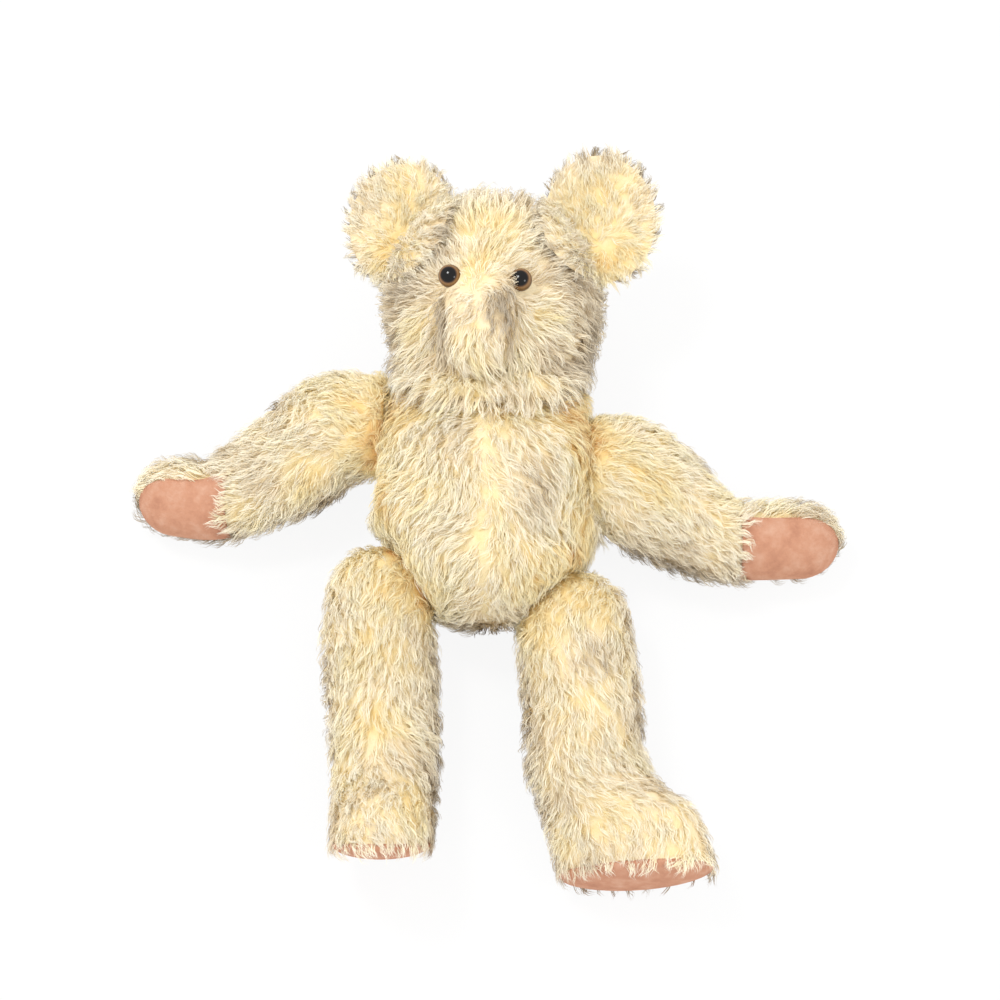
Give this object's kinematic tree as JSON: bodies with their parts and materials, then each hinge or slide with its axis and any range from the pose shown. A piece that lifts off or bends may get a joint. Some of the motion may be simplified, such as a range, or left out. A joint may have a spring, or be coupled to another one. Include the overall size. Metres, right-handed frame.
{
  "type": "jointed teddy bear",
  "caption": "Old jointed mohair teddy bear lying on its back; the head, arms and legs turn on disc joints.",
  "frame": {"origin": "the point where the torso's back meets the table, in the middle of the flat that it rests on", "axes": "+Z the way the tummy and face look, +Y towards the head, +X towards the bear's own left hand"},
  "size_m": [0.428, 0.4351, 0.1398],
  "materials": {
    "mohair_pile": "long worn mohair pile on a cotton backing",
    "woollen_felt": "faded salmon wool felt, rubbed",
    "wood_wool": "packed wood wool",
    "hardboard": "pressed board",
    "plated_steel": "dull plated",
    "amber_glass": "polished"
  },
  "bodies": {
    "torso": {"torso_cover": "mohair_pile", "torso_stuffing": "wood_wool", "neck_torso_disc": "hardboard", "neck_torso_washer": "plated_steel", "neck_cotter_pin": "plated_steel", "right_shoulder_torso_disc": "hardboard", "right_shoulder_torso_washer": "plated_steel", "right_shoulder_cotter_pin": "plated_steel", "left_shoulder_torso_disc": "hardboard", "left_shoulder_torso_washer": "plated_steel", "left_shoulder_cotter_pin": "plated_steel", "right_hip_torso_disc": "hardboard", "right_hip_torso_washer": "plated_steel", "right_hip_cotter_pin": "plated_steel", "left_hip_torso_disc": "hardboard", "left_hip_torso_washer": "plated_steel", "left_hip_cotter_pin": "plated_steel"},
    "head": {"head_cover": "mohair_pile", "head_stuffing": "wood_wool", "right_ear": "mohair_pile", "right_eye": "amber_glass", "right_eye_shank": "plated_steel", "left_ear": "mohair_pile", "left_eye": "amber_glass", "left_eye_shank": "plated_steel", "neck_limb_disc": "hardboard", "neck_limb_washer": "plated_steel"},
    "right_arm": {"right_arm_cover": "mohair_pile", "right_arm_stuffing": "wood_wool", "right_paw_pad": "woollen_felt", "right_shoulder_limb_disc": "hardboard", "right_shoulder_limb_washer": "plated_steel"},
    "left_arm": {"left_arm_cover": "mohair_pile", "left_arm_stuffing": "wood_wool", "left_paw_pad": "woollen_felt", "left_shoulder_limb_disc": "hardboard", "left_shoulder_limb_washer": "plated_steel"},
    "right_leg": {"right_leg_cover": "mohair_pile", "right_leg_stuffing": "wood_wool", "right_foot_pad": "woollen_felt", "right_hip_limb_disc": "hardboard", "right_hip_limb_washer": "plated_steel"},
    "left_leg": {"left_leg_cover": "mohair_pile", "left_leg_stuffing": "wood_wool", "left_foot_pad": "woollen_felt", "left_hip_limb_disc": "hardboard", "left_hip_limb_washer": "plated_steel"}
  },
  "joints": [
    {"name": "neck", "type": "hinge", "parent": "torso", "child": "head", "pos_m": [0.003, 0.079, 0.052], "axis": [0, 0.9945, 0.1045], "continuous": true},
    {"name": "right_shoulder", "type": "hinge", "parent": "torso", "child": "right_arm", "pos_m": [-0.06, 0.049, 0.053], "axis": [-1, 0, 0], "continuous": true},
    {"name": "left_shoulder", "type": "hinge", "parent": "torso", "child": "left_arm", "pos_m": [0.06, 0.036, 0.053], "axis": [1, 0, 0], "continuous": true},
    {"name": "right_hip", "type": "hinge", "parent": "torso", "child": "right_leg", "pos_m": [-0.04211, -0.03866, 0.046], "axis": [-0.8387, -0.5446, 0], "range_deg": [-120, 120]},
    {"name": "left_hip", "type": "hinge", "parent": "torso", "child": "left_leg", "pos_m": [0.03842, -0.04896, 0.046], "axis": [-0.7071, 0.7071, 0], "range_deg": [-120, 120]}
  ]
}
